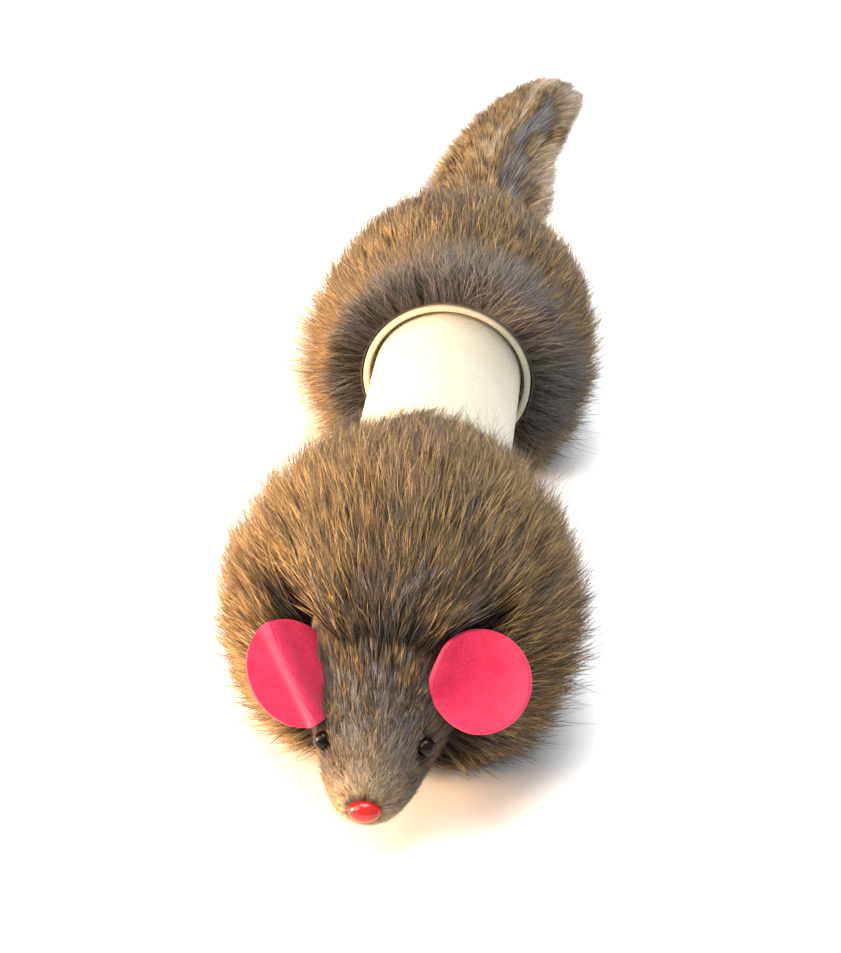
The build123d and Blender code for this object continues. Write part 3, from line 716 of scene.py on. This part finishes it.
def rear_tone(root, tip, t):
    """Slate round the collar, banded tan outside and behind it."""
    kind = mottle(root, 2)
    sideways, upwards = tip[:, 0], tip[:, 2] - AXIS_Z
    reach = RING_REACH + RING_SIDE * np.cos(np.arctan2(sideways, upwards) - RING_SIDE_ANGLE)
    edge = np.hypot(sideways, upwards) - reach + 1.2 * ripple(tip, 4.0, 13)
    slate = (1 - soft_step(edge, *RING_FADE)) * (1 - soft_step(t, RING_END - 0.02, RING_END + 0.05))
    grey = rng.normal(RING_KIND, 0.04, len(root))
    return (kind * (1 - slate) + slate * grey).clip(0, PALEST_AGOUTI)


# ---- tail ----
TAIL_LINE = ((2, 158, 32), (3, 180, 34), (5.0, 202, 37), (9, 219, 39.5), (13.5, 231, 41), (16, 237, 41.5))
TAIL_WIDTH = ((14,), (15.5,), (13.5,), (11.5,), (9,), (6,))
TAIL_HINGE = ("rear_half", "tail", (0.002, 0.160, 0.032), (0.0025, 0.184, 0.034))
TAIL_HIDE_SHARE = 0.62  # width of the strip of hide, as a share of the hair's
TAIL_HIDE_THICKNESS = 0.8
TAIL_EDGE = 0.85  # beyond this share of the half width the hair stands out sideways
TAIL_UPPER_SHARE = 0.58  # of the hairs, the share on the upper face
TAIL_REACH = 10.0  # about how far its hairs reach towards the tip, in mm
TAIL_KIND = 0.46
# streaks along the tail: change of kind, middle and half width as shares of the tail's half width
TAIL_STREAKS = ((0.26, 0.02, 0.16), (-0.42, 0.47, 0.28))
TAIL_TUFTS = ((40, 0.25, 1.2), (5, 0.5, 0.8))


def tail_frame(t):
    """The middle of the tail's strip with its directions forwards, sideways and up, and its half width."""
    middle = along_curve(TAIL_LINE, t)
    forward = unit(along_curve(TAIL_LINE, t + 0.02) - along_curve(TAIL_LINE, t - 0.02))
    sideways = unit(np.cross(forward, np.array([[0.0, 0.0, 1.0]])))
    return middle, forward, sideways, np.cross(sideways, forward), along_curve(TAIL_WIDTH, t)[:, 0]


def tail_fur(count):
    """Hair on both faces of the tail's strip, lying towards its tip."""
    t = rng.random(count) ** 0.9
    middle, forward, sideways, up, width = tail_frame(t)
    across = np.clip(rng.uniform(-1.25, 1.25, count), -1, 1)
    face = rng.choice([-1.0, 1.0], count, p=[1 - TAIL_UPPER_SHARE, TAIL_UPPER_SHARE])
    root = middle + sideways * (across * width * TAIL_HIDE_SHARE)[:, None] + up * (face * 0.5)[:, None]
    edge = np.abs(across) > TAIL_EDGE
    tilt = np.where(edge, rng.uniform(-1, 1, count), 1.0)
    rise = np.sqrt(1 - 0.8 * across**2) * (width * 0.45 + 1.0) * rng.uniform(0.7, 1.1, count) * tilt
    reach = TAIL_REACH * rng.uniform(0.7, 1.2, count)
    aside = across * width * np.where(edge, 0.62, 0.50)
    tip = root + forward * reach[:, None] + up * (face * rise)[:, None] + sideways * aside[:, None]
    tip += rng.normal(0, 0.8, (count, 3))
    wander = across + 0.15 * ripple(root, 6.0, 21)
    kind = TAIL_KIND + rng.normal(0, 0.07, count) + 0.07 * ripple(root, 5.0, 22)
    for change, middle, half_width in TAIL_STREAKS:
        kind += change * bell(wander, middle, half_width)
    pale_edge = soft_step(wander, 0.74, 0.9)
    pale_band = bell(t, 0.84, 0.09) * (across > -0.4)
    dark_end = soft_step(t, 0.92, 0.96) * (across > 0.2)
    kind += 0.34 * pale_edge + 0.55 * pale_band - 0.60 * dark_end
    fur(
        "tail_fur", root, tip, up * face[:, None], 0.25, rng.uniform(0.07, 0.12, count),
        kind.clip(0, 0.9), "tail", TAIL_TUFTS, blend=TAIL_HINGE,
    )


def tail_hide():
    """The strip of hide that carries the tail's hair."""
    rows, columns = 28, 9
    middle, _, sideways, _, width = tail_frame(np.linspace(0.02, 0.97, rows))
    steps = np.linspace(-1, 1, columns)
    points = np.concatenate([
        middle[k] + sideways[k] * (steps * width[k] * TAIL_HIDE_SHARE)[:, None] for k in range(rows)
    ])
    faces = grid_faces(rows, columns, False)
    piece = sheet_piece("tail_hide", points, faces, MATERIALS["hide"], TAIL_HIDE_THICKNESS)
    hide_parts("tail_pelt")
    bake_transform(piece)


# ---- head ----
HEAD_HAIR_DEPTH = 1.3  # from the fur line in to the hide
HEAD_ROOTS = 1.25  # and in to the hairs' roots
HEAD_FACE_SLOPE = -0.15  # how far forwards the hide of the head faces
HEAD_GREY, HEAD_TAN, HEAD_DARK, HEAD_PALE = 0.05, 0.42, 0.185, 0.80  # the kinds of its hair
TAN_SHARE = 0.30
HEAD_TUFTS = ((60, 0.10, 0.4), (5, 0.35, 0.3))


def head_place(t, angle, grow=0.0):
    """Places on the head's fur line, from the muzzle (t 0) to the neck (t 1)."""
    section = along_curve(HEAD_SECTIONS, t)
    y = HEAD_LOW[1] + section[:, 0]
    return np.stack([
        HEAD_TURN * (y - TUBE_LOW[1]) + (section[:, 1] + grow) * np.sin(angle),
        y,
        AXIS_Z - section[:, 3] + (section[:, 2] + grow) * np.cos(angle),
    ], 1)


def head_skin():
    """The hide of the head, closed round the nose."""
    rows, columns = 30, 48
    angles = np.linspace(0, 2 * math.pi, columns, endpoint=False)
    rings = [head_place(np.full(columns, k), angles, -HEAD_HAIR_DEPTH) for k in np.linspace(0, 1, rows)]
    points = np.concatenate(rings)
    faces = grid_faces(rows, columns, True)
    faces.append(tuple(range(columns))[::-1])
    mesh = bpy.data.meshes.new("head_hide")
    mesh.from_pydata((points * MM).tolist(), [], faces)
    mesh.polygons.foreach_set("use_smooth", np.ones(len(faces), bool))
    mesh.materials.append(MATERIALS["hide_head"])
    piece = bpy.data.objects.new("head_hide", mesh)
    bpy.context.scene.collection.objects.link(piece)
    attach(piece, "front_half")
    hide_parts("head_pelt")


def clear_of_eyes(root, tip):
    """True for the hairs of the head that stay clear of both beads."""
    clear = np.ones(len(root), bool)
    for node, side in (("eye_left", 1), ("eye_right", -1)):
        bead = np.array(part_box(node)).mean(0) / MM
        bead[0] += side * EYE_SHANK_HALF
        for s in (0.0, 0.5, 1.0):
            clear &= np.linalg.norm(root + (tip - root) * s - bead, axis=1) > EYE_CLEAR
    return clear


def head_fur(count):
    """Short hair on the head, lying back from the nose and growing longer towards the neck."""
    t = rng.random(count)
    angle = rng.uniform(-math.pi, math.pi, count)
    root = head_place(t, angle, -HEAD_ROOTS)
    top = np.cos(angle)
    crown = soft_step(t, 0.46, 0.82) * soft_step(top, -0.35, 0.35)
    reach = (0.09 + 0.08 * t + 0.20 * crown) * rng.uniform(0.6, 1.3, count)
    tip = head_place(np.minimum(t + reach, 1.3), angle + rng.normal(0, 0.17, count))
    out = unit(np.stack([np.sin(angle), np.full(count, HEAD_FACE_SLOPE), np.cos(angle)], 1))
    cheek = bell(t, 0.55, 0.2) * soft_step(np.abs(np.sin(angle)), 0.6, 0.95)
    rise = (0.3 + 0.9 * t + 6.5 * crown + 1.0 * cheek) * rng.uniform(0.2, 1.0, count)
    tip += out * rise[:, None] + rng.normal(0, 0.25 + 0.5 * crown[:, None], (count, 3))
    tip[:, 1] += 5.0 * crown * rng.uniform(0.5, 1.0, count)
    muzzle = 1 - soft_step(t, 0.10, 0.40)
    blaze = bell(t, 0.44, 0.15) * bell(angle, 0, 0.45)
    pale = muzzle + 0.38 * blaze + 0.3 * soft_step(-top, 0.2, 0.8)
    dark = 1.1 * soft_step(t + 0.02 * ripple(root, 2.5, 4), 0.46, 0.70) * soft_step(top, -0.3, 0.4)
    dark += 0.25 * soft_step(np.abs(angle), 0.4, 0.9) * soft_step(t, 0.2, 0.4) * (top > -0.3)
    picked = rng.random(count)
    kind = np.where(rng.random(count) < TAN_SHARE, HEAD_TAN, rng.normal(HEAD_GREY, 0.03, count))
    kind += 0.02 * ripple(root, 3.5, 3)
    kind = np.where(picked < dark, rng.normal(HEAD_DARK, 0.02, count), kind)
    kind = np.where(picked > 1 - 0.85 * pale, rng.normal(HEAD_PALE, 0.08, count), kind)
    clear = clear_of_eyes(root, tip)
    clear &= clear_of_ears(root, (root + tip) / 2, tip, EAR_R - 2.0, 0.3)
    radius = rng.uniform(0.04, 0.07, count)
    fur(
        "head_fur", root[clear], tip[clear], out[clear], 0.14, radius[clear],
        kind.clip(0, 0.95)[clear], "front_half", HEAD_TUFTS,
    )


# how far the longest hairs of the crown reach sideways, back and up, in mm
CROWN_SPREAD = 5.0
CROWN_BACK = 4.5
CROWN_RISE = 14.0
CROWN_ROOTS = 1.2  # from the fur line in to their roots
CROWN_FACE_SLOPE = -0.1
CROWN_TUFTS = ((30, 0.3, 0.9), (5, 0.6, 0.5))


def crown_fur(count):
    """Long dark hair at the back of the head's top that stands up over the front of the ball."""
    t = 0.52 + 0.48 * np.sqrt(rng.random(count))
    angle = rng.uniform(-1.35, 1.35, count)
    root = head_place(t, angle, -CROWN_ROOTS)
    reach = rng.uniform(0.45, 1.0, count) * (0.25 + 0.75 * soft_step(t, 0.55, 0.95))
    tip = root + np.stack([
        CROWN_SPREAD * np.sin(angle) * reach,
        CROWN_BACK * reach,
        CROWN_RISE * reach * np.cos(angle * 0.6),
    ], 1)
    tip += rng.normal(0, 0.7, (count, 3))
    out = unit(np.stack([np.sin(angle), np.full(count, CROWN_FACE_SLOPE), np.cos(angle)], 1))
    keep = clear_of_ears(root, (root + tip) / 2, tip, EAR_R - 2.4, 0.5)
    kind = np.where(rng.random(count) < 0.14, HEAD_TAN, rng.normal(0.18, 0.03, count))
    radius = rng.uniform(0.06, 0.11, count)
    fur(
        "crown_fur", root[keep], tip[keep], out[keep], 0.10, radius[keep],
        kind[keep], "front_half", CROWN_TUFTS,
    )


# ---- ears ----
FELT_THICKNESS = 1.1
FELT_SOFT_EDGE = 0.32


def ear_grid(name, node, place):
    """A felt ear: a round grid whose points place puts in the ear's own directions."""
    centre, along, upward, facing = EARS[node]
    rings, spokes = 16, 80
    faces = grid_faces(rings + 1, spokes, True)
    points = []
    for ring in range(rings + 1):
        for spoke in range(spokes):
            across, up, height = place(ring / rings, 2 * math.pi * spoke / spokes)
            points.append(centre + along * across + upward * up + facing * height)
    piece = sheet_piece(name, points, faces, MATERIALS["felt"], FELT_THICKNESS)
    edge = piece.modifiers.new("soft edge", "BEVEL")
    edge.width = FELT_SOFT_EDGE * MM
    edge.segments = 3
    edge.limit_method = "ANGLE"
    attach(piece, "front_half")
    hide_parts(node)


def cupped(share, turn):
    """The left ear: nearly round and cupped, with its upper inner edge curled forwards."""
    curl = math.exp(-(((turn - 2.40) / 0.50) ** 2))
    narrow = math.exp(-(((turn - math.pi - 0.5) / 0.60) ** 2))
    reach = EAR_R * share * (1.02 - 0.13 * curl * share - 0.05 * narrow * share)
    across, up = reach * math.cos(turn), reach * math.sin(turn)
    bowl = 0.028 * (across**2 + up**2) - 1.6
    rim = max(0.0, (share - 0.62) / 0.38)
    root_fold = (0.38 * abs(up) - 1.4) * max(0.0, -across / EAR_R)
    return across, up, bowl + 2.6 * curl * rim**2 + root_fold


FOLD_ANGLE = math.radians(38)  # of the crease of the right ear, up from its outward direction
FOLD_SQUEEZE = 0.90  # width of the folded ear as seen from before it, as a share of the oval's
FOLD_DROP = 0.9  # how far the right ear's middle hangs below its box's
FOLD_LENGTH, FOLD_WIDTH = 10.9, 8.9  # half the oval's length and width, without what the ridge takes up
FOLD_ASIDE = 0.6  # of the crease from the oval's middle


def creased(share, turn):
    """The right ear: an oval folded lengthwise, with a ridge from its top down to its root."""
    lengthwise = FOLD_LENGTH * share * math.cos(turn)
    crosswise = FOLD_WIDTH * share * math.sin(turn)
    ridge_height = 2.6 - 0.10 * lengthwise
    ridge = ridge_height * math.exp(-(((crosswise - FOLD_ASIDE) / 1.6) ** 2))
    slope = -0.60 * max(0.0, crosswise - FOLD_ASIDE) + 0.030 * min(0.0, crosswise) ** 2
    flat = crosswise * FOLD_SQUEEZE
    across = lengthwise * math.cos(FOLD_ANGLE) - flat * math.sin(FOLD_ANGLE)
    up = lengthwise * math.sin(FOLD_ANGLE) + flat * math.cos(FOLD_ANGLE)
    return across, up - FOLD_DROP, ridge + slope - 0.8


# ---- the cord ----
CORD_PLIES = 3
CORD_PLY_DEPTH = 0.14  # depth of the grooves between its plies, as a share of its radius
CORD_TWIST = 1.6  # turns of the plies per millimetre of radius and centimetre of length


def pull_cord():
    """The twisted cord from the spool to the rear plug. It is wound in as the rear half slides in."""
    low, high = (np.array(p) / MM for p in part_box("pull_cord"))
    radius = (high[0] - low[0]) / 2
    centre = (low + high) / 2
    rows, columns = 240, 18
    ys = np.linspace(low[1], high[1], rows)
    angles = np.linspace(0, 2 * math.pi, columns, endpoint=False)
    points = []
    for y in ys:
        twist = CORD_TWIST * radius * (y - low[1]) / 10 * 2 * math.pi
        groove = np.abs(np.sin(CORD_PLIES / 2 * (angles - twist)))
        around = radius * (1 - CORD_PLY_DEPTH * (1 - groove))
        points += [
            (centre[0] + r * math.sin(a), y, centre[2] + r * math.cos(a))
            for r, a in zip(around, angles)
        ]
    faces = grid_faces(rows, columns, True)
    faces.append(tuple(range(columns))[::-1])
    faces.append(tuple((rows - 1) * columns + a for a in range(columns)))
    mesh = bpy.data.meshes.new("twisted_cord")
    mesh.from_pydata((np.array(points) * MM).tolist(), [], faces)
    mesh.materials.append(MATERIALS["cord"])
    piece = bpy.data.objects.new("twisted_cord", mesh)
    bpy.context.scene.collection.objects.link(piece)
    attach(piece, "front_half")
    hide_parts("pull_cord")
    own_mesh(piece)


# ---- the CAD nodes that stay ----
def dress_nodes():
    """Gives every CAD node that is shown its material."""
    by_node = {
        "inner_tube": "card", "outer_sleeve": "card", "guide_ring": "kraft", "collar_ring": "kraft",
        "front_plug": "wood", "rear_plug": "wood", "head_form": "foam", "nose": "nose",
        "eye_left": "eye", "eye_right": "eye", "motor_case_left": "case", "motor_case_right": "case",
        "case_screws": "steel", "mounting_screws": "steel", "spool_axle": "steel",
        "layshaft_axle": "steel", "eccentric_axle": "steel", "mainspring": "spring",
        "cord_eyelet": "brass", "cord_anchor": "brass", "cord_spool": "gear",
        "intermediate_gear": "gear", "eccentric_pinion": "gear", "eccentric_weight": "weight",
    }
    for node, material in by_node.items():
        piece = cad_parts[node]
        piece.data.materials.clear()
        piece.data.materials.append(MATERIALS[material])


def make_materials():
    """Makes every material."""
    MATERIALS["fur"] = fur_material()
    MATERIALS["hide"] = mottled("hide", (0.050, 0.045, 0.042), (0.16, 0.12, 0.09), 900, 0.95)
    MATERIALS["hide_head"] = mottled("hide_head", (0.020, 0.017, 0.015), (0.050, 0.042, 0.036), 900, 0.95)
    MATERIALS["card"] = card_material()
    MATERIALS["felt"] = felt_material()
    MATERIALS["nose"] = gloss_material(
        "nose", (0.32, 0.003, 0.003), (0.52, 0.010, 0.007), 300, 0.16, 0.25, 0.4,
    )
    MATERIALS["eye"] = gloss_material(
        "eye", (0.001, 0.001, 0.001), (0.009, 0.004, 0.002), 400, 0.16, 0.0, 0.16,
    )
    MATERIALS["kraft"] = mottled("kraft", (0.20, 0.15, 0.10), (0.36, 0.28, 0.19), 1500, 0.9)
    MATERIALS["wood"] = mottled("wood", (0.42, 0.27, 0.14), (0.62, 0.44, 0.26), 300, 0.7)
    MATERIALS["foam"] = mottled("foam", (0.70, 0.67, 0.60), (0.86, 0.84, 0.78), 1800, 0.9)
    MATERIALS["case"] = mottled("case", (0.55, 0.55, 0.53), (0.68, 0.68, 0.66), 700, 0.5, 0.00005)
    MATERIALS["gear"] = mottled("gear", (0.78, 0.75, 0.66), (0.88, 0.86, 0.79), 700, 0.4, 0.00005)
    MATERIALS["steel"] = mottled("steel", (0.42, 0.42, 0.44), (0.62, 0.62, 0.64), 1200, 0.3, 0.00002, 1.0)
    MATERIALS["spring"] = mottled("spring", (0.10, 0.12, 0.20), (0.25, 0.28, 0.38), 1200, 0.3, 0.00002, 1.0)
    MATERIALS["brass"] = mottled("brass", (0.60, 0.42, 0.14), (0.80, 0.60, 0.25), 1200, 0.3, 0.00002, 1.0)
    MATERIALS["weight"] = mottled("weight", (0.12, 0.12, 0.12), (0.26, 0.26, 0.26), 900, 0.5, 0.00008, 1.0)
    MATERIALS["cord"] = mottled("cord", (0.62, 0.60, 0.54), (0.85, 0.83, 0.77), 2500, 0.9)


make_camera()
make_materials()
make_stage()
dress_nodes()
skin_mesh("front_hide", FRONT_SKIN, "front_pelt", "front_half")
skin_mesh("rear_hide", REAR_SKIN, "rear_pelt", "rear_half")
body_fur("front_fur", FRONT_SKIN, FRONT_HAIR, 72000, 0.15, "front_half", front_tone)
body_fur("rear_fur", REAR_SKIN, REAR_HAIR, 56000, 0.14, "rear_half", rear_tone, (RING_END, 1.0))
body_fur(
    "rear_ring", REAR_SKIN, REAR_HAIR, 24000, 0.12, "rear_half", rear_tone, (0.0, RING_END),
    ((40, 0.15, 0.8), (5, 0.35, 0.5)), (0.05, 0.09),
)
# single hairs over the fur: reach, radius in mm, kinds and share of dark ones
AWNS = ((0.93, 1.08), (0.10, 0.17), (0.44, 0.66), 0.35)
GUARDS = ((1.05, 1.24), (0.05, 0.08), (0.34, 0.50), 0.3)
STRAYS = ((1.06, 1.28), (0.06, 0.10), (0.68, 0.86), 0.0)
guard_hairs("front_awns", FRONT_SKIN, FRONT_HAIR, 15000, 0.17, "front_half", front_tone, *AWNS)
guard_hairs("rear_awns", REAR_SKIN, REAR_HAIR, 9000, 0.15, "rear_half", rear_tone, *AWNS)
guard_hairs("front_guard_hairs", FRONT_SKIN, FRONT_HAIR, 2200, 0.16, "front_half", front_tone, *GUARDS)
guard_hairs("rear_guard_hairs", REAR_SKIN, REAR_HAIR, 1100, 0.15, "rear_half", rear_tone, *GUARDS)
guard_hairs(
    "rear_strays", REAR_SKIN, REAR_HAIR, 1500, 0.10, "rear_half", mottle_only, *STRAYS,
    angles=(-2.4, -1.3), span=(0.05, 0.45), spread=2.2,
)
pull_cord()
tail_hide()
tail_fur(30000)
head_skin()
head_fur(36000)
crown_fur(10000)
ear_grid("ear_right_felt", "ear_right", creased)
ear_grid("ear_left_felt", "ear_left", cupped)
